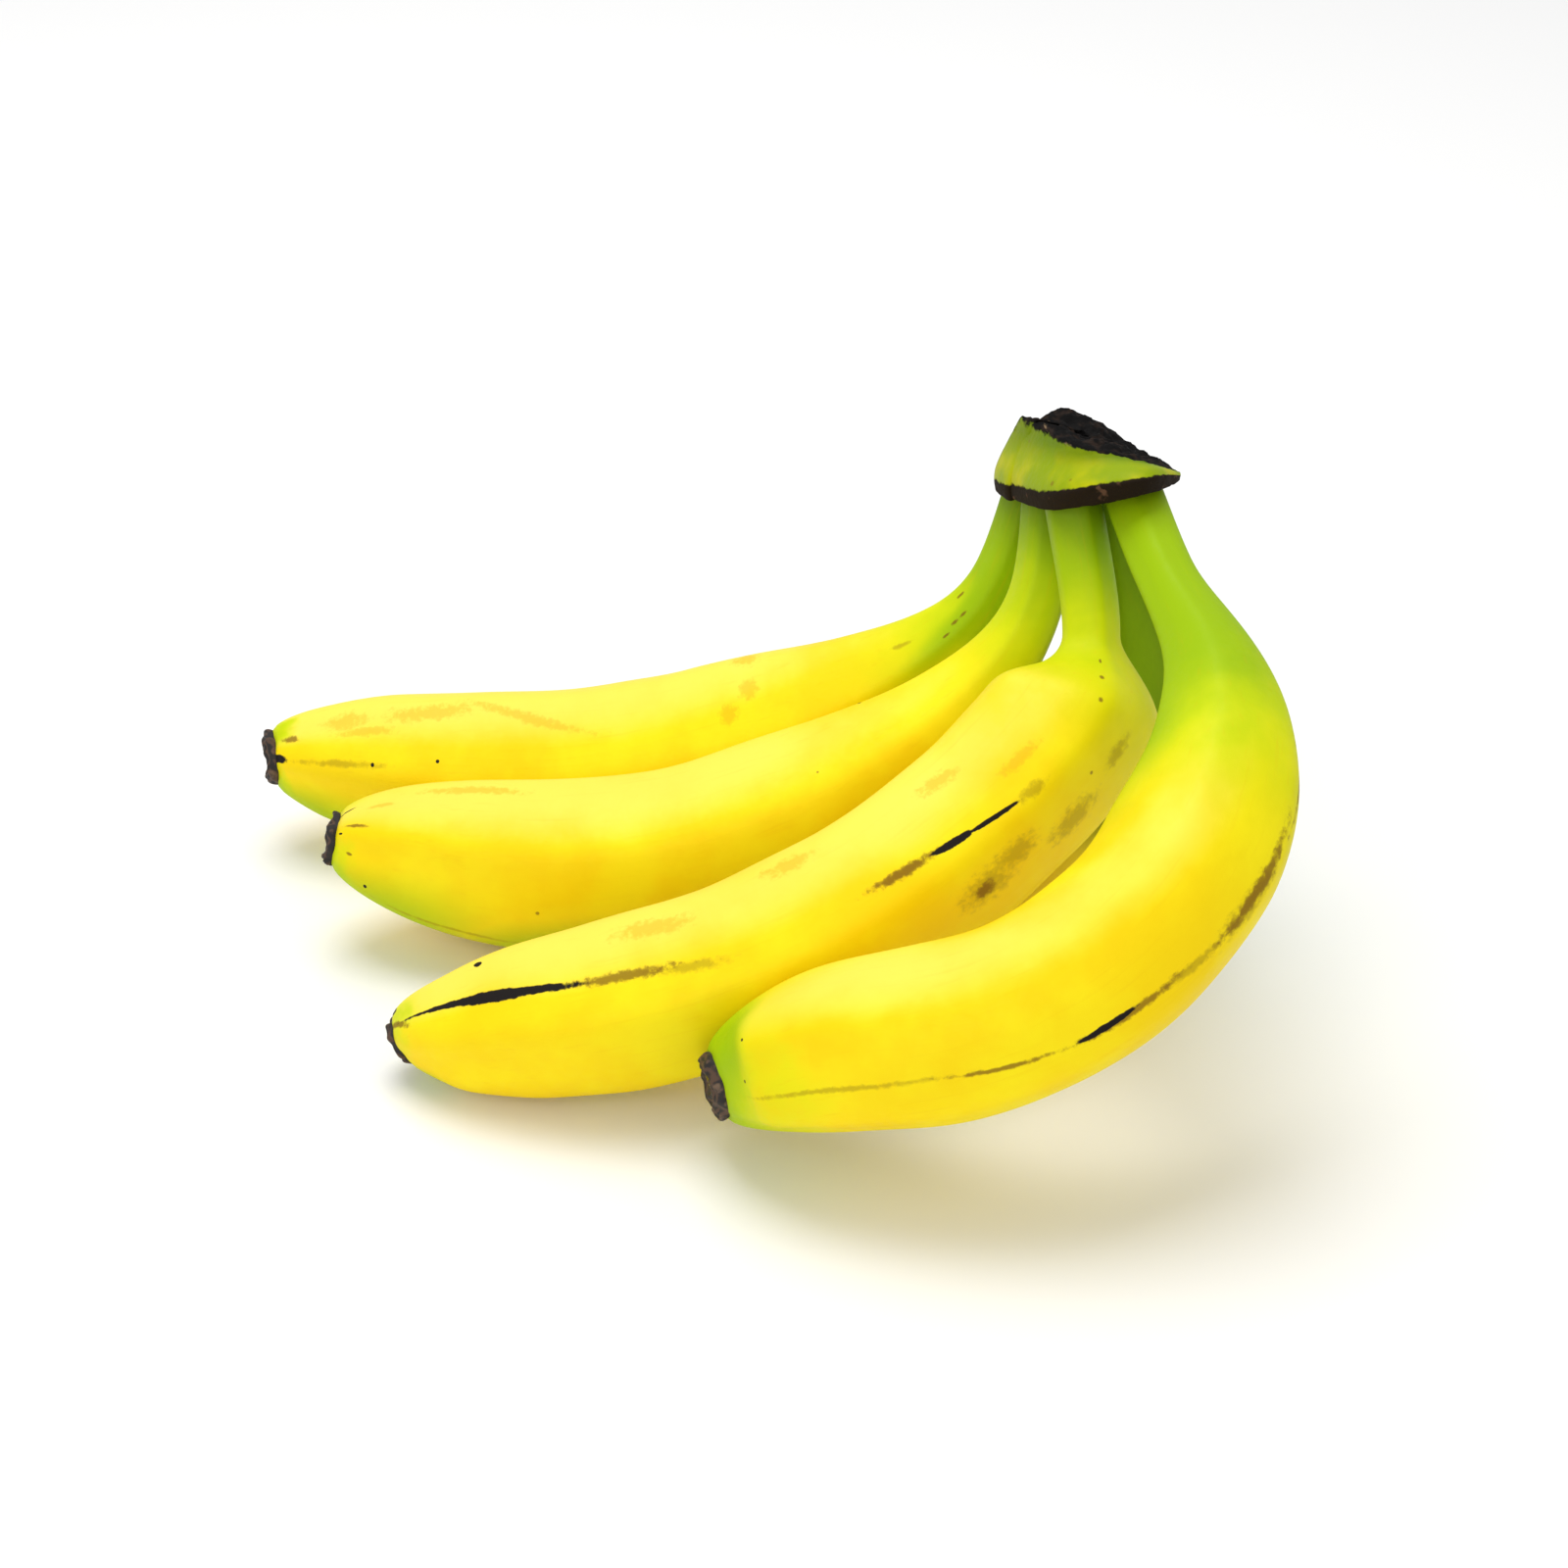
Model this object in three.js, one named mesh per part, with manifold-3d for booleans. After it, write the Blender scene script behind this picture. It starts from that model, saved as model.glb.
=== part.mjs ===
// A bunch of five ripe bananas lying on a table.
// The fingers grow from one crown, the cut block of stem that stands up at the right-hand end.
// Fingers 1 to 3 form one row, from the back to the front, and fingers 4 and 5 the second row.
// Millimetres, +Z up, with the origin on the table under the middle of the bunch.
import * as THREE from "three";
import { ConvexGeometry } from "three/addons/geometries/ConvexGeometry.js";
import { mergeVertices } from "three/addons/utils/BufferGeometryUtils.js";
import Module from "manifold-3d";

const wasm = await Module();
wasm.setup();

// Where the modelling frame's zero lies: the middle of the bunch's footprint, at table height.
const BUNCH_MIDDLE = [-9.96, -21.12, -0.01];

// The shape that all the fingers share.
const NECK_RADIUS = 5.9;
const TAPER_POWER = 2.2;
const TAPER_SLIMNESS = 0.7;
const RIDGES = 5;
const RIDGE_HEIGHT = 0.035;
const FINGER_ROWS = 30;
const FINGER_SIDES = 15;
const SPINE_STEP = 1;
const NECK_IN_CROWN = 18;
const GAP = 0.3;

// How far the shoulder's and the tip's bends lie from the end of the neck and from the tip.
const SHOULDER_BEND = { offset: 6, width: 14 };
const TIP_BEND = { offset: 28, width: 14 };
const BODY_BEND = { start: 25, fadeFrom: 35, fadeTo: 5 };

// Each finger leaves the crown at its root, in the direction that heading and dip give.
// It bends at the shoulder, along the body and at the tip, in a plane that turn rotates about
// the neck, and it bends sideways out of that plane. Angles are in degrees.
const FINGERS = [
  {
    root: [52, 38, 87.2], heading: 201.5, dip: -74, turn: 19.5,
    shoulder: 33, body: 51, tip: -6.5, sideways: -26.5,
    length: 195, radius: 18, neck: 17, growth: 80, taper: 58,
    end: 6, ridgeTurn: 0,
  },
  {
    root: [55.5, 26.5, 92], heading: -98, dip: -68, turn: 8,
    shoulder: 34, body: 65, tip: -2, sideways: -12,
    length: 190, radius: 18, neck: 16, growth: 82, taper: 48,
    end: 5.6, ridgeTurn: -16,
  },
  {
    root: [60.5, 11, 89.5], heading: -71.5, dip: -57, turn: -35,
    shoulder: 48.5, body: 40, tip: -9, sideways: 53.5,
    length: 193, radius: 17.5, neck: 18, growth: 14, taper: 59,
    end: 4.8, ridgeTurn: -6,
  },
  {
    root: [72.5, 8.5, 97.5], heading: -78, dip: -19, turn: -24.5,
    shoulder: -13, body: 135, tip: -30, sideways: 40.5,
    length: 192, radius: 17, neck: 15, growth: 71, taper: 45,
    end: 6.6, ridgeTurn: -5,
  },
  {
    root: [69.5, 30.5, 90.3], heading: -35.5, dip: -76.5, turn: -54,
    shoulder: 0.5, body: 111.5, tip: -28.5, sideways: 6.5,
    length: 151, radius: 14, neck: 10, growth: 42, taper: 47,
    end: 5.4, ridgeTurn: 0,
  },
];

// The crown stands on a sloping base plane, which all the necks meet. Its outline goes round
// the necks and a heel, the corner where the bunch was split from its neighbours.
const CROWN_BASE = [62, 22, 96.6];
const CROWN_UP = new THREE.Vector3(-0.26, 0.3, 1).normalize();
const HEEL = [75, 14, 96];
const RIM_RADIUS = 7.2;
const RIM_HEIGHT = 3.4;
const RIM_CHAMFER = 0.8;
const BLOCK_FOOT_RADIUS = 6.6;
const BLOCK_TOP_RADIUS = 4.6;
const BLOCK_HEIGHT = 24;
const BLOCK_NARROWING = 0.74;
const CIRCLE_POINTS = 10;

// The cut that took the bunch off its stem leaves a nearly level top.
const CUT_POINT = [62, 20, 110.5];
const CUT_UP = new THREE.Vector3(0.06, 0.23, 1).normalize();
const BIG = 200;

// The dried flower remnant on each tip.
const BLOSSOM_LENGTH = 3.6;
const BLOSSOM_DISH = 1.2;
const BLOSSOM_SIDES = 14;
const BLOSSOM_RAGGEDNESS = 0.05;

const SKIN = { color: 0xf2cc1c, roughness: 0.45, metalness: 0 };
const STEM = { color: 0x9fae16, roughness: 0.6, metalness: 0 };
const DRIED = { color: 0x2b1a10, roughness: 0.85, metalness: 0 };

const { clamp, degToRad, smoothstep } = THREE.MathUtils;

function bell(s, centre, width) {
  return Math.exp(-(((s - centre) / width) ** 2));
}

// Splits one bend over the steps of the spine, in proportion to a weight along it.
function shares(steps, step, weight) {
  const weights = Array.from({ length: steps }, (_, i) => weight((i + 0.5) * step));
  const total = weights.reduce((sum, value) => sum + value, 0);
  return weights.map((value) => value / total);
}

// The direction in which a neck leaves the crown, and the side towards which it then bends.
function startFrame(finger) {
  const heading = degToRad(finger.heading);
  const dip = degToRad(finger.dip);
  const along = new THREE.Vector3(
    Math.cos(dip) * Math.cos(heading),
    Math.cos(dip) * Math.sin(heading),
    Math.sin(dip),
  );
  const level = new THREE.Vector3(0, 1, 0).cross(along).normalize();
  const inward = level.applyAxisAngle(along, degToRad(finger.turn));
  return { point: new THREE.Vector3(...finger.root), along, inward };
}

// The middle line of a finger: a list of points with the direction along the finger and the
// direction towards its hollow side.
function spineOf(finger) {
  const steps = Math.round(finger.length / SPINE_STEP);
  const step = finger.length / steps;
  const { neck, length } = finger;
  const rise = (s) => smoothstep(s, neck, neck + BODY_BEND.start);
  const fall = (s) => 1 - smoothstep(s, length - BODY_BEND.fadeFrom, length - BODY_BEND.fadeTo);
  const shoulder = shares(steps, step, (s) => bell(s, neck + SHOULDER_BEND.offset, SHOULDER_BEND.width));
  const body = shares(steps, step, (s) => rise(s) * fall(s));
  const tip = shares(steps, step, (s) => bell(s, length - TIP_BEND.offset, TIP_BEND.width));
  const sideways = shares(steps, step, rise);

  const frames = [startFrame(finger)];
  for (let i = 0; i < steps; i++) {
    const { point, along, inward } = frames[i];
    const bend = finger.shoulder * shoulder[i] + finger.body * body[i] + finger.tip * tip[i];
    const side = along.clone().cross(inward);
    const next = along
      .clone()
      .addScaledVector(inward, degToRad(bend))
      .addScaledVector(side, degToRad(finger.sideways * sideways[i]))
      .normalize();
    frames.push({
      point: point.clone().addScaledVector(along, step / 2).addScaledVector(next, step / 2),
      along: next,
      inward: inward.clone().addScaledVector(next, -inward.dot(next)).normalize(),
    });
  }
  return { frames, step };
}

// A straight neck is carried on past the first frame, into the crown.
function frameAt(spine, s) {
  const last = spine.frames.length - 1;
  const index = clamp(Math.round(s / spine.step), 0, last);
  const frame = spine.frames[index];
  const beyond = s - index * spine.step;
  return { ...frame, point: frame.point.clone().addScaledVector(frame.along, beyond) };
}

function radiusAt(finger, s) {
  const grown = THREE.MathUtils.lerp(
    NECK_RADIUS,
    finger.radius,
    smoothstep(s, finger.neck, finger.neck + finger.growth),
  );
  const t = clamp((s - (finger.length - finger.taper)) / finger.taper, 0, 1);
  return finger.end + (grown - finger.end) * (1 - t ** TAPER_POWER) ** TAPER_SLIMNESS;
}

// Bends a straight lathe, whose axis is +Y and whose heights are distances along the spine.
function bendAlong(geometry, spine, widen) {
  const position = geometry.getAttribute("position");
  const vertex = new THREE.Vector3();
  for (let i = 0; i < position.count; i++) {
    vertex.fromBufferAttribute(position, i);
    const angle = Math.atan2(vertex.z, vertex.x);
    const scale = widen(angle);
    const { point, along, inward } = frameAt(spine, vertex.y);
    const side = along.clone().cross(inward);
    point.addScaledVector(inward, vertex.x * scale).addScaledVector(side, -vertex.z * scale);
    position.setXYZ(i, point.x, point.y, point.z);
  }
  return geometry;
}

function toSolid(geometry) {
  const bare = geometry.clone();
  bare.deleteAttribute("normal");
  bare.deleteAttribute("uv");
  const merged = mergeVertices(bare, 1e-4);
  const corners = merged.index ? Array.from(merged.index.array) : [];
  const triangles = [];
  for (let i = 0; i < corners.length; i += 3) {
    const [a, b, c] = corners.slice(i, i + 3);
    if (a !== b && b !== c && c !== a) triangles.push(a, b, c);
  }
  const mesh = new wasm.Mesh({
    numProp: 3,
    vertProperties: merged.getAttribute("position").array,
    triVerts: new Uint32Array(triangles),
  });
  return new wasm.Manifold(mesh);
}

function toGeometry(solid) {
  const { vertProperties, triVerts } = solid.getMesh();
  const geometry = new THREE.BufferGeometry();
  geometry.setAttribute("position", new THREE.BufferAttribute(vertProperties, 3));
  geometry.setIndex(new THREE.BufferAttribute(triVerts, 1));
  geometry.computeVertexNormals();
  return geometry;
}

// A box that fills everything above a plane, for cutting.
function halfSpace(through, up) {
  const box = new THREE.BoxGeometry(BIG, BIG, BIG);
  const turn = new THREE.Quaternion().setFromUnitVectors(new THREE.Vector3(0, 0, 1), up);
  const centre = through.clone().addScaledVector(up, BIG / 2);
  box.applyMatrix4(new THREE.Matrix4().compose(centre, turn, new THREE.Vector3(1, 1, 1)));
  return toSolid(box);
}

// A closed finger from its neck to its tip, cut off flat where it meets the crown.
function fingerSolid(finger, spine) {
  const profile = [new THREE.Vector2(0, -NECK_IN_CROWN)];
  profile.push(new THREE.Vector2(NECK_RADIUS, -NECK_IN_CROWN));
  for (let row = 0; row <= FINGER_ROWS; row++) {
    const s = (finger.length * row) / FINGER_ROWS;
    profile.push(new THREE.Vector2(radiusAt(finger, s), s));
  }
  profile.push(new THREE.Vector2(0, finger.length));
  const ridgeTurn = degToRad(finger.ridgeTurn);
  const ridged = (angle) => 1 + RIDGE_HEIGHT * Math.cos(RIDGES * (angle - ridgeTurn));
  const lathe = new THREE.LatheGeometry(profile, FINGER_SIDES);
  const underside = crownPoint(0, 0, -GAP);
  return toSolid(bendAlong(lathe, spine, ridged)).subtract(halfSpace(underside, CROWN_UP));
}

// The dried blossom end is a ragged disc, dished in the middle.
function blossomSolid(finger, spine) {
  const start = finger.length + GAP;
  const r = finger.end;
  const profile = [
    new THREE.Vector2(0, start),
    new THREE.Vector2(0.92 * r, start),
    new THREE.Vector2(r, start + 0.4 * BLOSSOM_LENGTH),
    new THREE.Vector2(0.8 * r, start + BLOSSOM_LENGTH),
    new THREE.Vector2(0.45 * r, start + BLOSSOM_LENGTH),
    new THREE.Vector2(0, start + BLOSSOM_LENGTH - BLOSSOM_DISH),
  ];
  const lathe = new THREE.LatheGeometry(profile, BLOSSOM_SIDES);
  const ragged = (angle) => 1 + BLOSSOM_RAGGEDNESS * Math.sin(3 * angle) * Math.cos(2 * angle);
  return toSolid(bendAlong(lathe, spine, ragged));
}

// A point in the crown's own frame: right, back along the base plane, and up from it.
function crownPoint(right, back, up) {
  const rightWards = new THREE.Vector3(1, 0, 0).addScaledVector(CROWN_UP, -CROWN_UP.x).normalize();
  const backWards = CROWN_UP.clone().cross(rightWards);
  return new THREE.Vector3(...CROWN_BASE)
    .addScaledVector(rightWards, right)
    .addScaledVector(backWards, back)
    .addScaledVector(CROWN_UP, up);
}

// Where the axis of a neck crosses the crown's base plane.
function neckOnBase(finger) {
  const { point, along } = startFrame(finger);
  const toBase = crownPoint(0, 0, 0).sub(point);
  return point.addScaledVector(along, toBase.dot(CROWN_UP) / along.dot(CROWN_UP));
}

// A ring of points round each neck and the heel, drawn in towards the crown's middle by narrowing.
function rings(radius, up, narrowing) {
  const base = new THREE.Vector3(...CROWN_BASE);
  const rightWards = crownPoint(1, 0, 0).sub(base);
  const backWards = crownPoint(0, 1, 0).sub(base);
  const centres = [...FINGERS.map(neckOnBase), new THREE.Vector3(...HEEL)];
  return centres.flatMap((centre) => {
    const offset = centre.clone().sub(base);
    const right = offset.dot(rightWards) * narrowing;
    const back = offset.dot(backWards) * narrowing;
    return Array.from({ length: CIRCLE_POINTS }, (_, i) => {
      const angle = (2 * Math.PI * i) / CIRCLE_POINTS;
      return crownPoint(right + radius * Math.cos(angle), back + radius * Math.sin(angle), up);
    });
  });
}

// The crown: a low rim over the necks, and above it a block that narrows and is cut off aslant.
function crownSolid() {
  const rim = new ConvexGeometry([
    ...rings(RIM_RADIUS - RIM_CHAMFER, 0, 1),
    ...rings(RIM_RADIUS, RIM_HEIGHT, 1),
  ]);
  const block = new ConvexGeometry([
    ...rings(BLOCK_FOOT_RADIUS, RIM_HEIGHT / 2, 1),
    ...rings(BLOCK_TOP_RADIUS, BLOCK_HEIGHT, BLOCK_NARROWING),
  ]);
  const cut = halfSpace(new THREE.Vector3(...CUT_POINT), CUT_UP);
  return toSolid(rim).add(toSolid(block)).subtract(cut);
}

const bunch = new THREE.Group();

function addPiece(name, solid, finish) {
  const mesh = new THREE.Mesh(toGeometry(solid), new THREE.MeshStandardMaterial(finish));
  mesh.name = name;
  mesh.position.set(...BUNCH_MIDDLE).negate();
  bunch.add(mesh);
}

addPiece("crown", crownSolid(), STEM);
FINGERS.forEach((finger, index) => {
  const spine = spineOf(finger);
  addPiece(`finger_${index + 1}`, fingerSolid(finger, spine), SKIN);
  addPiece(`blossom_end_${index + 1}`, blossomSolid(finger, spine), DRIED);
});

export default bunch;
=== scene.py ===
# %% [markdown]
# # A bunch of bananas
#
# Five ripe bananas hang together on one crown, the cut block of stem that they grew from.
# The bunch lies on a table, as it does at home or on a shop's shelf.
# The CAD model gives the size and the place of each piece. This lesson gives them their looks:
# a ridged, waxy skin that goes from green to yellow, the dry ends, and the rough cut of the crown.

from math import cos, pi, radians, sin

import bpy
import numpy as np
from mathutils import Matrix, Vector


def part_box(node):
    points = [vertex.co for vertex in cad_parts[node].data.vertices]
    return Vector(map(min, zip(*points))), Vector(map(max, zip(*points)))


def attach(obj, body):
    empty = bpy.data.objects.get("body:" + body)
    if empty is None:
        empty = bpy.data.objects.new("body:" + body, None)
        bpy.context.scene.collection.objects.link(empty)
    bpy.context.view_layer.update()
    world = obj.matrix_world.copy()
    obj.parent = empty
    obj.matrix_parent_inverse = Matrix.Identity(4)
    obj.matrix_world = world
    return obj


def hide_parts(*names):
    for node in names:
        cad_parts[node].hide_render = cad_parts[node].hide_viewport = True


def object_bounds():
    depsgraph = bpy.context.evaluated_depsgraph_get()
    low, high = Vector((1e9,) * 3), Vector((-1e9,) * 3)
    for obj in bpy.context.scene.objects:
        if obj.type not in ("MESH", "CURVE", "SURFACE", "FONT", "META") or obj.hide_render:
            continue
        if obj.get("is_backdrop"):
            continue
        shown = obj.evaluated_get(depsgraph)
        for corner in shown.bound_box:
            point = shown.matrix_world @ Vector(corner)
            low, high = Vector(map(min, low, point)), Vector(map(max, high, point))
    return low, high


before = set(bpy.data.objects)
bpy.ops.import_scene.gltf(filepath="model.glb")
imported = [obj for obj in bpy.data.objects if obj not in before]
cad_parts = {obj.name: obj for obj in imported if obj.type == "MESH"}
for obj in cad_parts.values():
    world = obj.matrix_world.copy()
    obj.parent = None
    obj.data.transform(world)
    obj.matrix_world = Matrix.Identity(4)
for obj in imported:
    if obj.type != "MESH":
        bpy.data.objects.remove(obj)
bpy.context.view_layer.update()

# %% [markdown]
# ## Camera
#
# The camera looks down on the bunch at about 30 degrees, as a person at the table does. Its
# distance sets how strongly the near tips loom, and its lens how much of the picture the bunch fills.

# %% Camera
MM = 0.001
BUNCH_MIDDLE = Vector((-9.96, -21.12, -0.01))
LOOK_AT = (Vector((0, 0, 40)) - BUNCH_MIDDLE) * MM
CAMERA_DISTANCE = 700 * MM
CAMERA_ELEVATION = radians(31)
SENSOR = 36
LENS = 76.83

camera_data = bpy.data.cameras.new("camera")
camera_data.sensor_width = SENSOR
camera_data.lens = LENS
camera = bpy.data.objects.new("camera", camera_data)
bpy.context.collection.objects.link(camera)
towards_camera = Vector((0, -cos(CAMERA_ELEVATION), sin(CAMERA_ELEVATION)))
camera.location = LOOK_AT + CAMERA_DISTANCE * towards_camera
camera.rotation_euler = (pi / 2 - CAMERA_ELEVATION, 0, 0)
bpy.context.scene.camera = camera
print("camera at, mm:", [round(v / MM) for v in camera.location])

# %% [markdown]
# ## Table and light
#
# Fruit looks fresh in soft light. A large softbox overhead draws the broad pale sheen along
# the top of each banana, where the skin's colour also has a painted pale sheen, and a white
# table throws light back up into the undersides.

# %% Table and light
TABLE_SIZE = 8
TABLE_COLOUR = (0.95, 0.95, 0.945, 1)
TABLE_ROUGHNESS = 0.7
SKY_COLOUR = (1, 1, 1, 1)
SKY_STRENGTH = 0.55


def deselect_all():
    for piece in bpy.context.selected_objects:
        piece.select_set(False)


def soft_light(name, place, size, power):
    """A square area light at a place, aimed at the middle of the bunch."""
    data = bpy.data.lights.new(name, "AREA")
    data.shape = "SQUARE"
    data.size = size
    data.energy = power
    light = bpy.data.objects.new(name, data)
    bpy.context.collection.objects.link(light)
    light.location = place
    light.rotation_euler = (LOOK_AT - light.location).to_track_quat("-Z", "Y").to_euler()
    return light


deselect_all()
bpy.ops.mesh.primitive_plane_add(size=TABLE_SIZE, location=(0, 0, 0))
table = bpy.context.object
table.name = "table"
table_paint = bpy.data.materials.new("table_paint")
table_paint.use_nodes = True
paint_inputs = table_paint.node_tree.nodes["Principled BSDF"].inputs
paint_inputs["Base Color"].default_value = TABLE_COLOUR
paint_inputs["Roughness"].default_value = TABLE_ROUGHNESS
table.data.materials.append(table_paint)
table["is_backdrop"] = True

soft_light("softbox_overhead", place=(-0.15, 0.25, 1.3), size=0.9, power=11)
soft_light("softbox_front", place=(-0.5, -1.5, 0.9), size=1.2, power=8)

sky = bpy.data.worlds.new("sky")
sky.use_nodes = True
sky_inputs = sky.node_tree.nodes["Background"].inputs
sky_inputs["Color"].default_value = SKY_COLOUR
sky_inputs["Strength"].default_value = SKY_STRENGTH
bpy.context.scene.world = sky
bpy.context.scene.view_settings.view_transform = "Standard"

# %% [markdown]
# ## The sizes of the bananas
#
# Each banana leaves the crown at its root. Its heading and dip say which way its neck points,
# and turn says towards which side it bends. Shoulder, body and tip are the degrees that it bends
# by in those three places, and sideways is the bend out of that plane. Neck is how long the neck
# is, growth is how far the shoulder takes to fill out, and taper and end are the length and the
# radius of the tip. All lengths are in millimetres.

# %% The sizes of the bananas
FINGERS = {
    "finger_1": dict(
        root=(52, 38, 87.2), heading=201.5, dip=-74, turn=19.5,
        shoulder=33, body=51, tip=-6.5, sideways=-26.5,
        length=195, radius=18, neck=17, growth=80, taper=58,
        end=6, ridge_turn=0,
    ),
    "finger_2": dict(
        root=(55.5, 26.5, 92), heading=-98, dip=-68, turn=8,
        shoulder=34, body=65, tip=-2, sideways=-12,
        length=190, radius=18, neck=16, growth=82, taper=48,
        end=5.6, ridge_turn=-16,
    ),
    "finger_3": dict(
        root=(60.5, 11, 89.5), heading=-71.5, dip=-57, turn=-35,
        shoulder=48.5, body=40, tip=-9, sideways=53.5,
        length=193, radius=17.5, neck=18, growth=14, taper=59,
        end=4.8, ridge_turn=-6,
    ),
    "finger_4": dict(
        root=(72.5, 8.5, 97.5), heading=-78, dip=-19, turn=-24.5,
        shoulder=-13, body=135, tip=-30, sideways=40.5,
        length=192, radius=17, neck=15, growth=71, taper=45,
        end=6.6, ridge_turn=-5,
    ),
    "finger_5": dict(
        root=(69.5, 30.5, 90.3), heading=-35.5, dip=-76.5, turn=-54,
        shoulder=0.5, body=111.5, tip=-28.5, sideways=6.5,
        length=151, radius=14, neck=10, growth=42, taper=47,
        end=5.4, ridge_turn=0,
    ),
}
NECK_RADIUS = 5.9
TAPER_POWER = 2.2
TAPER_SLIMNESS = 0.7
SHOULDER_BEND = dict(offset=6, width=14)
TIP_BEND = dict(offset=28, width=14)
BODY_BEND = dict(start=25, fade_from=35, fade_to=5)
print("bananas:", len(FINGERS))

# %% [markdown]
# ## The middle line
#
# A banana is straight in its bud and curves as it grows. So the line through its middle is
# worked out in steps of one millimetre: each step turns a little from the last one.
# At each step the line also knows which way its hollow side faces, so the skin never twists.

# %% The middle line


def smooth(start, end, value):
    t = np.clip((value - start) / (end - start), 0, 1)
    return t * t * (3 - 2 * t)


def bell(value, centre, width):
    return np.exp(-(((value - centre) / width) ** 2))


def shares(weights):
    return weights / weights.sum()


def unit(vector):
    return vector / np.linalg.norm(vector)


def first_directions(finger):
    """The direction of the neck, and the side towards which it bends."""
    heading, dip, turn = (radians(finger[key]) for key in ("heading", "dip", "turn"))
    along = np.array([cos(dip) * cos(heading), cos(dip) * sin(heading), sin(dip)])
    level = unit(np.cross([0, 1, 0], along))
    inward = cos(turn) * level + sin(turn) * np.cross(along, level)
    return along, inward


def middle_line(finger):
    """Places, directions and hollow sides along a banana, one for each step."""
    length, neck = finger["length"], finger["neck"]
    steps = round(length)
    step = length / steps
    s = (np.arange(steps) + 0.5) * step
    rise = smooth(neck, neck + BODY_BEND["start"], s)
    fall = 1 - smooth(length - BODY_BEND["fade_from"], length - BODY_BEND["fade_to"], s)
    bends = finger["shoulder"] * shares(bell(s, neck + SHOULDER_BEND["offset"], SHOULDER_BEND["width"]))
    bends = bends + finger["body"] * shares(rise * fall)
    bends = bends + finger["tip"] * shares(bell(s, length - TIP_BEND["offset"], TIP_BEND["width"]))
    bends = np.radians(bends)
    sideways = np.radians(finger["sideways"] * shares(rise))

    along, inward = first_directions(finger)
    point = np.array(finger["root"], float) - np.array(BUNCH_MIDDLE)
    points, alongs, inwards = [point], [along], [inward]
    for i in range(steps):
        side = np.cross(along, inward)
        next_along = unit(along + bends[i] * inward + sideways[i] * side)
        inward = unit(inward - (inward @ next_along) * next_along)
        point = point + step * (along + next_along) / 2
        along = next_along
        points.append(point)
        alongs.append(along)
        inwards.append(inward)
    return dict(step=step, points=np.array(points), alongs=np.array(alongs), inwards=np.array(inwards))


def frames_at(line, s):
    """The middle line's place, direction, hollow side and flank at distances s, in millimetres."""
    last = len(line["points"]) - 1
    position = np.clip(s / line["step"], 0, last)
    index = np.clip(position.astype(int), 0, last - 1)
    part = (position - index)[:, None]

    def between(values):
        return values[index] * (1 - part) + values[index + 1] * part

    along = between(line["alongs"])
    along = along / np.linalg.norm(along, axis=1)[:, None]
    inward = between(line["inwards"])
    inward = inward - (inward * along).sum(1)[:, None] * along
    inward = inward / np.linalg.norm(inward, axis=1)[:, None]
    beyond = (s / line["step"] - position)[:, None] * line["step"]
    point = between(line["points"]) + beyond * along
    return point, along, inward, np.cross(along, inward)


LINES = {name: middle_line(finger) for name, finger in FINGERS.items()}
print("tip heights, mm:", {name: round(line["points"][-1][2]) for name, line in LINES.items()})

# %% [markdown]
# ## Tools for modelling
#
# These helpers do what a person does by hand in edit mode. Others move all of a piece's points at
# once, or keep numbers with the points that the materials can look up.

# %% Tools for modelling


def choose(piece):
    deselect_all()
    piece.select_set(True)
    bpy.context.view_layer.objects.active = piece


def edit(piece, mode="VERT"):
    """Makes a piece the only one selected and opens it in edit mode with nothing selected."""
    choose(piece)
    bpy.ops.object.mode_set(mode="EDIT")
    bpy.ops.mesh.select_mode(type=mode)
    bpy.ops.mesh.select_all(action="DESELECT")


def pick(piece, kind, test):
    """Selects the vertices, edges or faces of a piece in edit mode that pass a test."""
    bpy.ops.object.mode_set(mode="OBJECT")
    for item in getattr(piece.data, kind):
        item.select = bool(test(item))
    bpy.ops.object.mode_set(mode="EDIT")


def leave_edit():
    bpy.ops.object.mode_set(mode="OBJECT")


def face_outwards():
    """Turns all the faces of the piece in edit mode outwards, and leaves edit mode."""
    bpy.ops.mesh.select_all(action="SELECT")
    bpy.ops.mesh.normals_make_consistent(inside=False)
    leave_edit()


def new_disc(name, corners, radius, height=0):
    """A flat, filled ring at a height, from which a piece is extruded."""
    deselect_all()
    place = (0, 0, height)
    bpy.ops.mesh.primitive_circle_add(vertices=corners, radius=radius, fill_type="NGON", location=place)
    bpy.ops.object.transform_apply(location=True, rotation=False, scale=False)
    piece = bpy.context.object
    piece.name = name
    return piece


def extrude_up(height):
    bpy.ops.mesh.extrude_region_move(TRANSFORM_OT_translate=dict(value=(0, 0, height)))


def apply_modifiers(piece):
    choose(piece)
    for name in [modifier.name for modifier in piece.modifiers]:
        bpy.ops.object.modifier_apply(modifier=name)


def subdivide_smoothly(piece, levels):
    modifier = piece.modifiers.new("rounding", "SUBSURF")
    modifier.levels = levels
    modifier.render_levels = levels
    apply_modifiers(piece)


def read_points(piece):
    flat = np.zeros(3 * len(piece.data.vertices))
    piece.data.vertices.foreach_get("co", flat)
    return flat.reshape(-1, 3)


def write_points(piece, points):
    piece.data.vertices.foreach_set("co", np.asarray(points, float).ravel())
    piece.data.update()


def store(piece, name, values):
    """Keeps a number or a vector for each point, under a name that the materials can read."""
    values = np.asarray(values, float)
    kind, field = ("FLOAT", "value") if values.ndim == 1 else ("FLOAT_VECTOR", "vector")
    attribute = piece.data.attributes.new(name, kind, "POINT")
    attribute.data.foreach_set(field, values.ravel())


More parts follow.
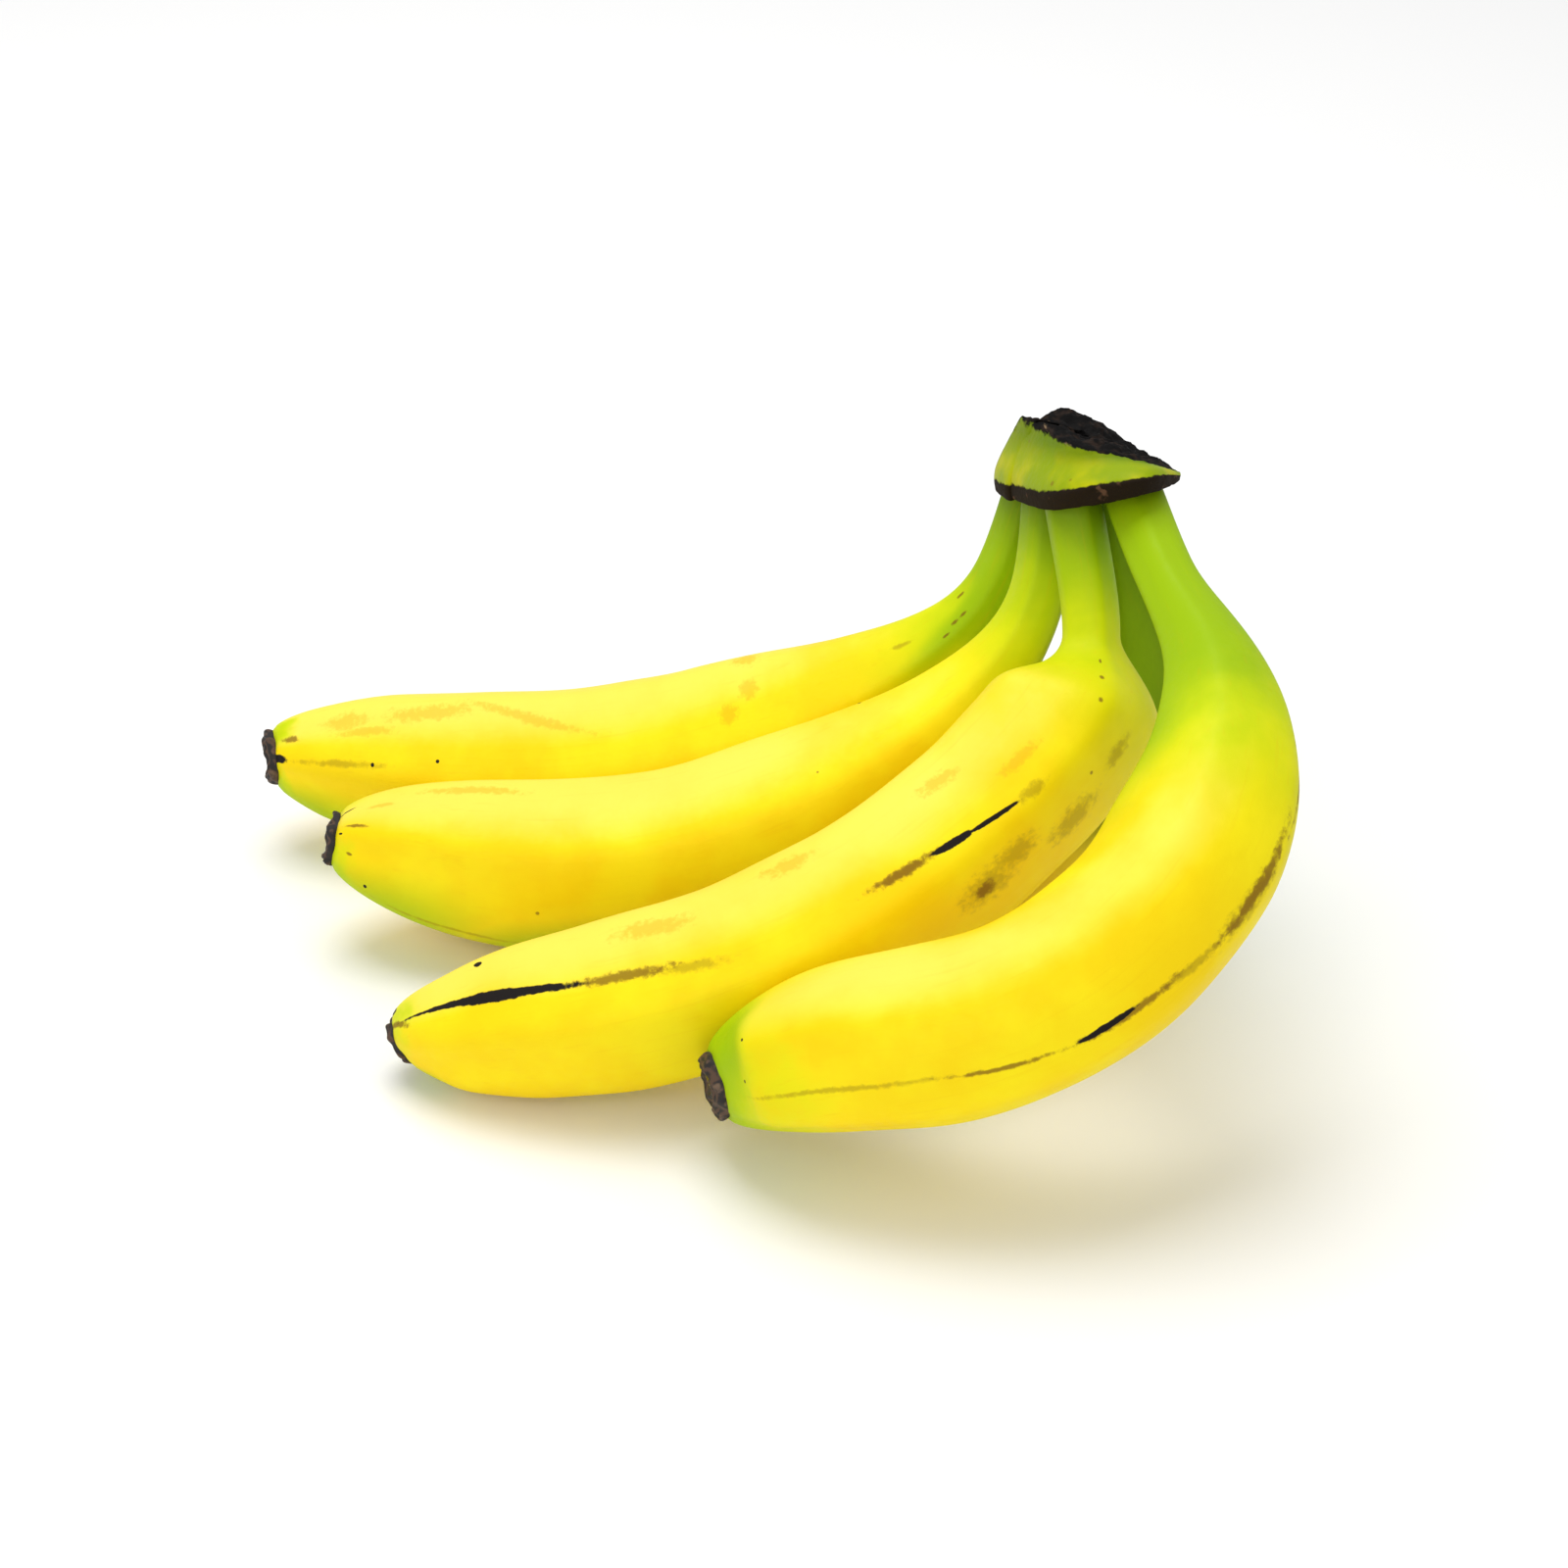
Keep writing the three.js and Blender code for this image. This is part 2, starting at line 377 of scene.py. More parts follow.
def copy_of(piece, name):
    twin = piece.copy()
    twin.data = piece.data.copy()
    twin.name = name
    twin.data.name = name
    bpy.context.collection.objects.link(twin)
    return twin


# %% [markdown]
# ## One straight banana
#
# A banana has five ridges with nearly flat faces between them. One straight banana is modelled
# as by hand, and each real one is a copy: a ten-cornered ring is pulled out where the ridges run,
# extruded step by step into a long prism, and rounded by a Subdivision Surface modifier.
# Creases keep the ridges a little crisper than the faces.

# %% One straight banana
RIDGES = 5
RING_CORNERS = 2 * RIDGES
STATIONS = 26
RIDGE_PULL = 1.06
RIDGE_CREASE = 0.35
SKIN_LEVELS = 3
# The part of its length over which the finished prism is measured.
MEASURED = (0.4, 0.6)


def straight_banana():
    """A ridged prism of radius 1 and length 1 along +Z, closed at both ends."""
    piece = new_disc("straight_banana", RING_CORNERS, 1)
    edit(piece)
    pick(piece, "vertices", lambda v: v.index % 2 == 0)
    bpy.ops.transform.resize(value=(RIDGE_PULL, RIDGE_PULL, 1), center_override=(0, 0, 0))
    bpy.ops.mesh.select_mode(type="FACE")
    bpy.ops.mesh.select_all(action="SELECT")
    for _ in range(STATIONS):
        extrude_up(1 / STATIONS)
    face_outwards()
    vertices = piece.data.vertices
    half_step = 0.5 / STATIONS

    def runs_along_a_ridge(edge):
        a, b = (vertices[i].co for i in edge.vertices)
        return abs(a.z - b.z) > half_step and a.xy.length > (1 + RIDGE_PULL) / 2

    def goes_round_an_end(edge):
        a, b = (vertices[i].co for i in edge.vertices)
        return abs(a.z - b.z) < half_step and abs(a.z + b.z - 1) > 1 - half_step

    edit(piece, "EDGE")
    pick(piece, "edges", runs_along_a_ridge)
    bpy.ops.transform.edge_crease(value=RIDGE_CREASE)
    pick(piece, "edges", goes_round_an_end)
    bpy.ops.transform.edge_crease(value=1)
    leave_edit()
    subdivide_smoothly(piece, SKIN_LEVELS)
    points = read_points(piece)
    sides = points[(points[:, 2] > MEASURED[0]) & (points[:, 2] < MEASURED[1])]
    points[:, :2] /= np.hypot(sides[:, 0], sides[:, 1]).mean()
    write_points(piece, points)
    return piece


template = straight_banana()
print("straight banana:", len(template.data.vertices), "vertices,", len(template.data.polygons), "faces")

# %% [markdown]
# ## Thickness, dents and bend
#
# A banana is thin at the neck, grows over the shoulder and closes in a blunt tip, and a few soft
# dents keep its faces from looking turned on a lathe. Then it is bent along its own middle line.
# A Curve modifier could bend it too, but it picks its own twist, and here the ridges have to run
# where the line says, so the bend is done point by point.

# %% Thickness, dents and bend
# Each set of dents: its wave length in millimetres, its waves round the banana, and its height.
DENTS = ((31, 2, 0.16), (47, 3, 0.11), (19, 4, 0.07))
# Tips that end aslant: towards which side the end faces, and how steeply.
TIP_SLANTS = {"finger_4": (105, 0.6), "finger_1": (150, 0.15), "finger_3": (150, 0.3)}
SLANT_FADE = 14
rng = np.random.default_rng(7)


def radius_at(finger, s, slower=0):
    filled = smooth(finger["neck"], finger["neck"] + finger["growth"] + slower, s)
    grown = NECK_RADIUS + (finger["radius"] - NECK_RADIUS) * filled
    t = np.clip((s - (finger["length"] - finger["taper"])) / finger["taper"], 0, 1)
    return finger["end"] + (grown - finger["end"]) * (1 - t**TAPER_POWER) ** TAPER_SLIMNESS


def dents_at(s, angle):
    """Soft hills and hollows of the skin, in millimetres, that wander round and along it."""
    depth = np.zeros_like(s)
    for wave_length, turns, height in DENTS:
        phase_along, phase_round = rng.uniform(0, 2 * pi, 2)
        wave = np.sin(2 * pi * s / wave_length + phase_along) * np.cos(turns * angle + phase_round)
        depth += height * wave
    return depth


def bent(name, s, angle, radius):
    """Places on a banana at a distance along it, an angle and a radius, and how far each faces up."""
    length = FINGERS[name]["length"]
    facing, slope = TIP_SLANTS.get(name, (0, 0))
    slant = slope * smooth(length - SLANT_FADE, length, s)
    s = s - slant * radius * np.cos(angle - radians(facing))
    point, along, inward, side = frames_at(LINES[name], s)
    across = np.cos(angle)[:, None] * inward - np.sin(angle)[:, None] * side
    return (point + radius[:, None] * across) * MM, across[:, 2]


print("thickest, mm:", {name: 2 * finger["radius"] for name, finger in FINGERS.items()})

# %% [markdown]
# ## The bananas in the bunch
#
# Each banana is a copy of the straight one with its own thickness, ridges, dents and bend. The
# straight shape is kept in an attribute called "straight": the patterns of the
# skin are laid out on it, so they follow the bend as they do on the real fruit. "Upward" says how
# far each point faces up. Last, the neck is cut off flat where it has gone into the crown.

# %% The bananas in the bunch
NECK_IN_CROWN = 18
CROWN_BASE = Vector((62, 22, 97.3)) - BUNCH_MIDDLE
CROWN_UP = Vector((-0.26, 0.3, 1)).normalized()
TUCKED_IN = 3.5
# How far the ridges stand out, as a share of the radius, and where that fades, in millimetres.
NECK_RIDGES, NECK_RIDGES_FADE = 0.02, 30
TIP_RIDGES, TIP_RIDGES_FROM, TIP_RIDGES_TO = 0.045, 45, 8
# The dents fade in after the neck, and out before the tip.
DENTS_IN, DENTS_OUT_FROM, DENTS_OUT_TO = 20, 30, 5
# Over how many more millimetres a shoulder fills out on its hollow side.
SLOW_HOLLOW = {"finger_3": 10}


def ridges_at(finger, s, angle):
    """A factor for the radius, so that the ridges stand out at the neck and the tip."""
    neck, length = finger["neck"], finger["length"]
    crisper = NECK_RIDGES * (1 - smooth(neck, neck + NECK_RIDGES_FADE, s))
    crisper = crisper + TIP_RIDGES * smooth(length - TIP_RIDGES_FROM, length - TIP_RIDGES_TO, s)
    return 1 + crisper * np.cos(RIDGES * angle)


def dented_share(finger, s):
    """How strongly the dents show: not on the neck, and not at the end of the tip."""
    neck, length = finger["neck"], finger["length"]
    begun = smooth(neck, neck + DENTS_IN, s)
    return begun * (1 - smooth(length - DENTS_OUT_FROM, length - DENTS_OUT_TO, s))


def trim_under_crown(piece):
    """Cuts a neck off flat, just inside the crown, and closes it."""
    edit(piece)
    bpy.ops.mesh.select_all(action="SELECT")
    through = (CROWN_BASE + TUCKED_IN * CROWN_UP) * MM
    bpy.ops.mesh.bisect(plane_co=through, plane_no=CROWN_UP, clear_outer=True, use_fill=True)
    face_outwards()


def shape_banana(name):
    finger = FINGERS[name]
    piece = copy_of(template, "banana_" + name[-1])
    points = read_points(piece)
    s = points[:, 2] * (finger["length"] + NECK_IN_CROWN) - NECK_IN_CROWN
    turn = radians(finger["ridge_turn"])
    angle = np.arctan2(points[:, 1], points[:, 0]) + turn
    slower = SLOW_HOLLOW.get(name, 0) * (1 + np.cos(angle)) / 2
    radius = np.hypot(points[:, 0], points[:, 1]) * radius_at(finger, s, slower)
    radius = radius * ridges_at(finger, s, angle - turn)
    dents = dents_at(s, angle) * dented_share(finger, s)
    radius = radius + dents * np.clip(radius / finger["radius"], 0, 1)
    store(piece, "straight", np.stack([radius * np.cos(angle), radius * np.sin(angle), s], 1) * MM)
    places, facing_up = bent(name, s, angle, radius)
    # The skin paints its pale top sheen, a painted highlight, from how far each point faces up.
    store(piece, "upward", facing_up)
    write_points(piece, places)
    trim_under_crown(piece)
    bpy.ops.object.shade_smooth()
    return piece


bananas = {name: shape_banana(name) for name in FINGERS}
bpy.data.objects.remove(template)
for name, piece in bananas.items():
    low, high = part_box(name)
    gap = max(abs(v) for v in (np.array(low) - read_points(piece).min(0)))
    print(piece.name, "is within", round(gap / MM, 1), "mm of its CAD node's low corner")

# %% [markdown]
# ## Dried blossom ends
#
# The flower falls off and leaves a dry scab on the tip: a thin ragged disc with raised rings and
# a dark, sunken middle. It is modelled once, of radius 1, from a circle that is extruded and scaled
# ring by ring as its outline says. Each copy is sized to its tip and crumpled in its own way.

# %% Dried blossom ends
BLOSSOM_CORNERS = 20
# Radius and height of each ring, from the underside of the disc to its middle.
BLOSSOM_OUTLINE = (
    (0.97, -0.16), (1.04, 0.02), (1.05, 0.2), (0.93, 0.34), (0.85, 0.26), (0.8, 0.36),
    (0.68, 0.38), (0.62, 0.27), (0.54, 0.3), (0.4, 0.2), (0.24, 0.26), (0.1, 0.2),
)
BLOSSOM_LEVELS = 2
# Each set of crumples: its waves round the disc, and their height.
CRUMPLES = ((5, 0.05), (9, 0.035), (16, 0.02))
CRUMPLE_LEAN = 3
LIFT_WAVES = 0.6
LIFT_SPREAD = 7
LIFT_HEIGHT = 1.4
# The heights between which the crumples set in: in and out, and up and down.
CRUMPLED_SIDE = (-0.1, 0.25)
CRUMPLED_TOP = (-0.1, 0.3)


def blossom_end():
    """A disc of radius 1 whose outline is extruded ring by ring, standing on the tip at height 0."""
    radius, height = BLOSSOM_OUTLINE[0]
    piece = new_disc("blossom_end", BLOSSOM_CORNERS, radius, height)
    edit(piece, "FACE")
    bpy.ops.mesh.select_all(action="SELECT")
    for next_radius, next_height in BLOSSOM_OUTLINE[1:]:
        extrude_up(next_height - height)
        factor = next_radius / radius
        bpy.ops.transform.resize(value=(factor, factor, 1), center_override=(0, 0, next_height))
        radius, height = next_radius, next_height
    face_outwards()
    subdivide_smoothly(piece, BLOSSOM_LEVELS)
    return piece


def crumple(points):
    """Moves points in and out by waves that run round the disc and up it, each copy in its own way."""
    angle = np.arctan2(points[:, 1], points[:, 0])
    reach = np.hypot(points[:, 0], points[:, 1])
    up = points[:, 2]
    moved = points.copy()
    for waves, height in CRUMPLES:
        phases = rng.uniform(0, 2 * pi, 3)
        wave = np.sin(waves * angle + phases[0] + CRUMPLE_LEAN * up)
        moved[:, :2] *= (1 + height * wave * smooth(*CRUMPLED_SIDE, up))[:, None]
        lift = np.sin(LIFT_WAVES * waves * angle + phases[1]) * np.sin(LIFT_SPREAD * reach + phases[2])
        moved[:, 2] += LIFT_HEIGHT * height * lift * smooth(*CRUMPLED_TOP, up)
    return moved


def shape_blossom_end(name):
    finger = FINGERS[name]
    piece = copy_of(dried_template, "dried_blossom_end_" + name[-1])
    points = crumple(read_points(piece))
    store(piece, "straight", points * finger["end"] * MM)
    angle = np.arctan2(points[:, 1], points[:, 0])
    radius = np.hypot(points[:, 0], points[:, 1]) * finger["end"]
    s = finger["length"] + points[:, 2] * finger["end"]
    write_points(piece, bent(name, s, angle, radius)[0])
    edit(piece)
    face_outwards()
    bpy.ops.object.shade_smooth()
    return piece


dried_template = blossom_end()
dried_ends = {name: shape_blossom_end(name) for name in FINGERS}
bpy.data.objects.remove(dried_template)
print("blossom ends:", len(dried_ends))

# %% [markdown]
# ## The block of the crown
#
# The necks meet under one block of stem. Its lower edge has dried to a dark lip, its face is green
# skin, and its top is the black, torn cut. It is modelled from a circle that is extruded upwards
# in rings. Each ring's corners are then put where the block's corners are: over the necks, at the
# sharp corner on the left, and at the point that overhangs on the right. The number of its ring is
# kept with each point as "level", which later tells the lip, the face and the cut apart.

# %% The block of the crown
# Each ring's corners in millimetres, seen from above, from the left one round by the front.
CROWN_RINGS = (
    # Underside of the lip, drawn in behind the necks.
    (
        (48, 40, 89.8), (50.5, 25, 92.2), (54.5, 16.5, 96.4), (60, 11, 100),
        (67.5, 8, 102.5), (72, 8, 104), (75.5, 10.5, 103.5), (78.4, 17, 102),
        (76, 26, 99), (70, 34, 95), (62, 43, 91), (53.5, 45, 89),
    ),
    # Lower edge of the lip.
    (
        (44.5, 39.5, 89), (47.5, 21, 93.2), (52.3, 10.5, 97.6), (58.6, 3.6, 102.4),
        (67, 1, 105), (72, 0.8, 106.8), (76, 4.5, 105.8), (80.6, 15, 103),
        (79, 27, 99), (72.5, 38, 94), (62, 46.5, 90), (52.5, 48.5, 88.5),
    ),
    # Upper edge of the lip.
    (
        (44.2, 39.5, 90.6), (47, 21, 96.6), (52, 10.5, 101), (58.4, 3.6, 106.2),
        (66.7, 1, 108.8), (72, 0.8, 110), (76, 4.5, 109), (80.8, 15, 104),
        (79, 27, 100.5), (72.5, 38, 97), (62, 46.5, 93), (52.5, 48.5, 91),
    ),
    # The face's widest ring, just above the lip.
    (
        (43.8, 39.5, 94), (47.2, 21.5, 98.6), (52.4, 11.4, 103.4), (58.8, 4.8, 108),
        (67, 2.4, 110.4), (72, 2.4, 111.2), (75.6, 6, 109.8), (80.8, 15.1, 104.3),
        (78, 26, 101), (72, 37, 98), (62, 46, 95), (53, 48, 93.5),
    ),
    # The hollow of the face.
    (
        (46.4, 38, 101), (50.4, 25, 103.2), (54.6, 16, 106.6), (60, 10.6, 109),
        (66.5, 7.5, 111), (71.5, 6.5, 111.2), (75.4, 8.2, 109.6), (80.7, 15.3, 104.5),
        (77, 25, 101.5), (71.5, 33, 100.5), (64, 40, 101), (57, 42, 101.5),
    ),
    # The front edge of the cut.
    (
        (49.2, 36, 108.2), (52, 26, 110.2), (56, 18, 111), (60, 12.5, 111.6),
        (66.5, 8.5, 111.9), (71.5, 7.5, 111), (75.3, 9.5, 108.8), (80.6, 15.6, 104.6),
        (77.4, 23, 102.9), (72.5, 29.5, 103.8), (65.5, 35.5, 106.8), (56.5, 38, 110.4),
    ),
)
CUT_MIDDLE = np.array((64, 22.5, 109.2))
# The rings of the cut: their share of the way to its middle, and how much they are lifted.
CUT_RINGS = ((0.22, 0.5), (0.5, 0.2), (0.8, -0.2))
# Any size does here, because each corner is put in its place afterwards.
ROUGH_RADIUS = 15
ROUGH_STEP = 3


def crown_corners():
    """All the rings' corners in millimetres in the bunch's frame, those of the torn top included."""
    rings = [np.array(ring, float) for ring in CROWN_RINGS]
    edge = rings[-1]
    for towards_middle, lift in CUT_RINGS:
        rings.append(edge + (CUT_MIDDLE - edge) * towards_middle + (0, 0, lift))
    return np.array(rings) - np.array(BUNCH_MIDDLE)


def crown_block():
    """The rings, extruded one from the other, put in their places, and closed below and above."""
    rings = crown_corners()
    piece = new_disc("crown_block", rings.shape[1], ROUGH_RADIUS * MM)
    edit(piece, "FACE")
    bpy.ops.mesh.select_all(action="SELECT")
    for _ in rings[1:]:
        extrude_up(ROUGH_STEP * MM)
    leave_edit()
    write_points(piece, rings.reshape(-1, 3) * MM)
    store(piece, "level", np.repeat(np.arange(len(rings)), rings.shape[1]))
    edit(piece)
    face_outwards()
    return piece


crown = crown_block()
print("crown block:", len(crown.data.vertices), "corners in", len(CROWN_RINGS) + len(CUT_RINGS), "rings")

# %% [markdown]
# ## Rounded faces and torn edges
#
# Creases keep the lip, the edge of the cut and two upright corners sharp when the block is rounded.
# Then cloudy patterns push the surface in and out: strongly on the torn cut, less at its frayed
# edge, and faintly on the lip, which wrinkled as it dried.

# %% Rounded faces and torn edges
CROWN_LEVELS = 3
RING_CREASES = {1: 0.6, 2: 0.6, 5: 0.7}
CORNER_CREASES = {0: 0.75, 7: 0.8}
# For each kind of roughness: its rings, the size of its clouds and its strength, in millimetres.
ROUGH_PARTS = {
    "torn": (range(6, 9), 3.6, 3.2),
    "frayed": (range(5, 9), 1.4, 1.3),
    "lip": (range(1, 3), 2.2, 0.5),
}
CLOUD_DEPTH = 4
CORNERS = len(CROWN_RINGS[0])


def crease_between(piece, members, crease):
    """Creases the edges whose ends are both among the members."""
    edit(piece, "EDGE")
    pick(piece, "edges", lambda e: e.vertices[0] in members and e.vertices[1] in members)
    bpy.ops.transform.edge_crease(value=crease)
    leave_edit()


def weigh_rings(piece, name, rings):
    """A vertex group that holds the corners of some rings, for a modifier to act on."""
    group = piece.vertex_groups.new(name=name)
    for ring in rings:
        group.add(list(range(ring * CORNERS, (ring + 1) * CORNERS)), 1, "REPLACE")


def roughen(piece, group, scale, strength):
    """Pushes the surface in and out by a cloudy pattern, where the vertex group says."""
    clouds = bpy.data.textures.new(group + "_clouds", "CLOUDS")
    clouds.noise_scale = scale * MM
    clouds.noise_depth = CLOUD_DEPTH
    modifier = piece.modifiers.new(group, "DISPLACE")
    modifier.texture = clouds
    modifier.texture_coords = "LOCAL"
    modifier.strength = strength * MM
    modifier.mid_level = 0.5
    modifier.vertex_group = group


for ring, crease in RING_CREASES.items():
    crease_between(crown, range(ring * CORNERS, (ring + 1) * CORNERS), crease)
for corner, crease in CORNER_CREASES.items():
    crease_between(crown, range(corner, CORNERS * len(CROWN_RINGS), CORNERS), crease)
for name, (rings, _, _) in ROUGH_PARTS.items():
    weigh_rings(crown, name, rings)
subdivide_smoothly(crown, CROWN_LEVELS)
for name, (_, scale, strength) in ROUGH_PARTS.items():
    roughen(crown, name, scale, strength)
apply_modifiers(crown)
bpy.ops.object.shade_smooth()
print("rounded crown:", len(crown.data.vertices), "vertices")

# %% [markdown]
# ## Tools for the materials
#
# Every material here is a tree of nodes. Small helpers keep the trees short to write: they add a
# node with its settings and inputs, do a sum, make noise, or mix two colours.
# What several materials share becomes a node group with named sockets.

# %% Tools for the materials
NOISE_MIDDLE = 0.5


def connect(tree, made, inputs):
    """Fills a node's inputs. Each is a value, or another node's output to link."""
    for name, value in inputs.items():
        if isinstance(value, bpy.types.NodeSocket):
            tree.links.new(value, made.inputs[name])
        else:
            made.inputs[name].default_value = value


def node(tree, kind, inputs=None, **settings):
    made = tree.nodes.new("ShaderNode" + kind)
    for name, value in settings.items():
        setattr(made, name, value)
    connect(tree, made, inputs or {})
    return made


def maths(tree, operation, first, second=0.0, clamp=False):
    return node(tree, "Math", {0: first, 1: second}, operation=operation, use_clamp=clamp).outputs[0]


def plus(tree, first, second):
    return maths(tree, "ADD", first, second)


def times(tree, first, second):
    return maths(tree, "MULTIPLY", first, second)


def ease(tree, value, start, end, low=0.0, high=1.0):
    """Goes smoothly from low to high while the value goes from start to end."""
    inputs = {"Value": value, "From Min": start, "From Max": end, "To Min": low, "To Max": high}
    return node(tree, "MapRange", inputs, interpolation_type="SMOOTHSTEP").outputs["Result"]


def noise(tree, where, scale, detail, roughness=0.5):
    inputs = {"Vector": where, "Scale": scale, "Detail": detail, "Roughness": roughness}
    return node(tree, "TexNoise", inputs).outputs["Fac"]


def swing(tree, pattern, width):
    """Makes noise swing round zero instead of its middle, by a width."""
    return times(tree, maths(tree, "SUBTRACT", pattern, NOISE_MIDDLE), width)


def attribute(tree, name, output):
    return node(tree, "Attribute", attribute_name=name).outputs[output]


def blend(tree, factor, first, second):
    """Mixes two colours: where the factor is 0 the first shows, and where it is 1 the second."""
    mix = node(tree, "Mix", {"Factor": factor}, data_type="RGBA")
    for socket, colour in (("A_Color", first), ("B_Color", second)):
        target = next(s for s in mix.inputs if s.identifier == socket)
        if isinstance(colour, bpy.types.NodeSocket):
            tree.links.new(colour, target)
        else:
            target.default_value = (*colour, 1)
    return next(s for s in mix.outputs if s.identifier == "Result_Color")


def new_group(name, inputs, outputs):
    """An empty node group with named sockets, and its input and output nodes."""
    group = bpy.data.node_groups.new(name, "ShaderNodeTree")
    for direction, sockets in (("INPUT", inputs), ("OUTPUT", outputs)):
        for socket, kind in sockets.items():
            group.interface.new_socket(socket, in_out=direction, socket_type="NodeSocket" + kind)
    return group, group.nodes.new("NodeGroupInput").outputs, group.nodes.new("NodeGroupOutput").inputs


def place_group(tree, group, inputs):
    """Puts a node group in a tree, and returns its outputs."""
    made = tree.nodes.new("ShaderNodeGroup")
    made.node_tree = group
    connect(tree, made, inputs)
    return made.outputs


def new_material(name):
    """A material, its node tree, and the inputs of its shader."""
    material = bpy.data.materials.new(name)
    material.use_nodes = True
    return material, material.node_tree, material.node_tree.nodes["Principled BSDF"].inputs


def make_bumpy(tree, surface, height, strength, distance):
    bump = node(tree, "Bump", {"Height": height, "Strength": strength, "Distance": distance})
    tree.links.new(bump.outputs[0], surface["Normal"])


def dress(piece, material):
    piece.data.materials.clear()
    piece.data.materials.append(material)


print("materials so far:", [material.name for material in bpy.data.materials])

# %% [markdown]
# ## Effects that the pieces share
#
# The skin's patterns are laid out on the straight banana, so the first group turns its coordinates
# into millimetres along it and millimetres round it, like a map. A mark is an ellipse on that map:
# a dot, a long scratch or a wide stain, whose edge noise makes ragged. Fibres are noise stretched
# along the fruit, and specks are the small brown dots that come with ripeness.

# %% Effects that the pieces share
MAP_RADIUS = 16
METRES_TO_MM = 1000.0
# Fibres are this much longer than they are wide, so their noise is squeezed along the fruit.
FIBRE_STRETCH = (1, 1, 0.045)
SMALLEST_SPECK = 0.25
SPECK_EDGE = (1.0, 0.55)


def map_group():
    group, inputs, outputs = new_group("skin_map", {"Straight": "Vector"}, {"Map": "Vector"})
    xyz = node(group, "SeparateXYZ", {0: inputs["Straight"]}).outputs
    along = times(group, xyz["Z"], METRES_TO_MM)
    behind = times(group, xyz["X"], -1.0)
    angle = plus(group, maths(group, "ARCTAN2", behind, xyz["Y"]), pi / 2)
    around = times(group, angle, float(MAP_RADIUS))
    place = node(group, "CombineXYZ", {0: along, 1: around}).outputs[0]
    group.links.new(place, outputs["Map"])
    return group


def mark_group():
    sockets = {"Map": "Vector", "Middle": "Vector", "Lengthwise": "Vector", "Crosswise": "Vector"}
    sockets.update({"Ragged": "Float", "Softness": "Float"})
    group, inputs, outputs = new_group("mark", sockets, {"Mask": "Float"})
    offset = node(group, "VectorMath", {0: inputs["Map"], 1: inputs["Middle"]}, operation="SUBTRACT")
    parts = []
    for axis in ("Lengthwise", "Crosswise"):
        dot = node(group, "VectorMath", {0: offset.outputs[0], 1: inputs[axis]}, operation="DOT_PRODUCT")
        parts.append(dot.outputs["Value"])
    flat = node(group, "CombineXYZ", {0: parts[0], 1: parts[1]})
    reach = node(group, "VectorMath", {0: flat.outputs[0]}, operation="LENGTH").outputs["Value"]
    reach = plus(group, reach, inputs["Ragged"])
    outer = plus(group, 1.0, inputs["Softness"])
    inner = maths(group, "SUBTRACT", 1.0, inputs["Softness"])
    group.links.new(ease(group, reach, outer, inner), outputs["Mask"])
    return group


def fibres_group():
    outlets = {"Fibres": "Float", "Mottle": "Float", "Grain": "Float"}
    group, inputs, outputs = new_group("fibres", {"Straight": "Vector"}, outlets)
    straight = inputs["Straight"]
    stretched = node(group, "Mapping", {"Vector": straight, "Scale": FIBRE_STRETCH}).outputs[0]
    group.links.new(noise(group, stretched, scale=900.0, detail=3.0, roughness=0.6), outputs["Fibres"])
    group.links.new(noise(group, straight, scale=42.0, detail=4.0, roughness=0.55), outputs["Mottle"])
    group.links.new(noise(group, straight, scale=700.0, detail=4.0, roughness=0.65), outputs["Grain"])
    return group


def specks_group():
    sockets = {"Straight": "Vector", "Cells": "Float", "Share": "Float", "Size": "Float"}
    group, inputs, outputs = new_group("specks", sockets, {"Mask": "Float"})
    cells = node(group, "TexVoronoi", {"Vector": inputs["Straight"], "Scale": inputs["Cells"]}).outputs
    dice = node(group, "SeparateXYZ", {0: cells["Color"]}).outputs
    chosen = maths(group, "LESS_THAN", dice["X"], inputs["Share"])
    size = times(group, inputs["Size"], plus(group, dice["Y"], SMALLEST_SPECK))
    dot = ease(group, maths(group, "DIVIDE", cells["Distance"], size), *SPECK_EDGE)
    group.links.new(times(group, dot, chosen), outputs["Mask"])
    return group


SKIN_MAP = map_group()
MARK = mark_group()
FIBRES = fibres_group()
SPECKS = specks_group()
print("shared effects:", [group.name for group in bpy.data.node_groups])

# %% [markdown]
# ## Marks on the skin
#
# The skin is deep yellow over the body, with paler and more golden patches, and green where it
# ripens last: at the neck and the tip. Each kind of mark has its own colour: amber rubs, olive
# stains, brown specks along the ridges, and black scars where the skin was bruised or split.

# %% Marks on the skin
GOLD = (0.95, 0.68, 0.0)
YELLOW = (0.98, 0.80, 0.004)
# Painted highlight: the pale cream of the sheen on the tops that face up.
SHEEN_CREAM = (0.99, 0.81, 0.11)
LIME = (0.66, 0.74, 0.0)
GREEN = (0.33, 0.52, 0.0)
# Painted shade: the dark green laid on the necks near the crown, and far down the back banana's neck.
PAINTED_SHADE_GREEN = (0.06, 0.13, 0.0)
AMBER = (0.80, 0.42, 0.0)
OLIVE = (0.36, 0.24, 0.004)
BROWN = (0.20, 0.085, 0.006)
BLACK = (0.010, 0.007, 0.006)

# Softness of the mark's edge, how much the noise tears it, and how strongly it covers.
MARK_KINDS = {
    "green": dict(colour=GREEN, softness=0.75, torn=0.25, cover=0.85),
    "amber": dict(colour=AMBER, softness=0.45, torn=2.8, cover=0.5),
    "olive": dict(colour=OLIVE, softness=0.6, torn=2.6, cover=0.55),
    "brown": dict(colour=BROWN, softness=0.45, torn=2.3, cover=0.8),
    "black": dict(colour=BLACK, softness=0.12, torn=0.7, cover=1.0),
}
